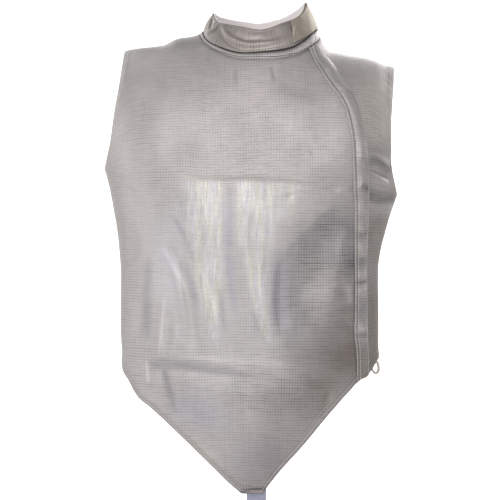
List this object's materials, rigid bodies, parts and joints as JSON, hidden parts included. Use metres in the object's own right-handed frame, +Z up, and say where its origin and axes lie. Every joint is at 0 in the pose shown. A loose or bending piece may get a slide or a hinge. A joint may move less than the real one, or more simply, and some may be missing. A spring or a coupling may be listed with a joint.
{
  "type": "fencing lame",
  "caption": "Sleeveless metallised fencing over-jacket with a stand collar, a covered side-front closing, a pointed front and a crotch strap, filled out as worn.",
  "frame": {"origin": "middle of the shoulder line, between the two shoulders, where the wearer's shoulders carry the garment", "axes": "+Z up, -Y towards the front of the garment, +X towards the wearer's left"},
  "size_m": [0.4215, 0.2372, 0.7619],
  "materials": {
    "lame_cloth": "silver-grey metallised weave with a soft sheen",
    "lining_cloth": "matt white woven cotton blend",
    "zip_tape": "grey woven tape with moulded teeth",
    "elastic": "pale ribbed elastic webbing",
    "loop_cord": "off-white braided cord"
  },
  "bodies": {
    "root": {"front_panel": "lame_cloth", "left_side_panel": "lame_cloth", "back_panel": "lame_cloth", "closing_flap": "lame_cloth", "zip": "zip_tape", "collar": "lame_cloth", "collar_lining": "lining_cloth", "collar_tab": "lame_cloth", "crotch_strap": "elastic", "hip_loop": "loop_cord"}
  },
  "joints": []
}
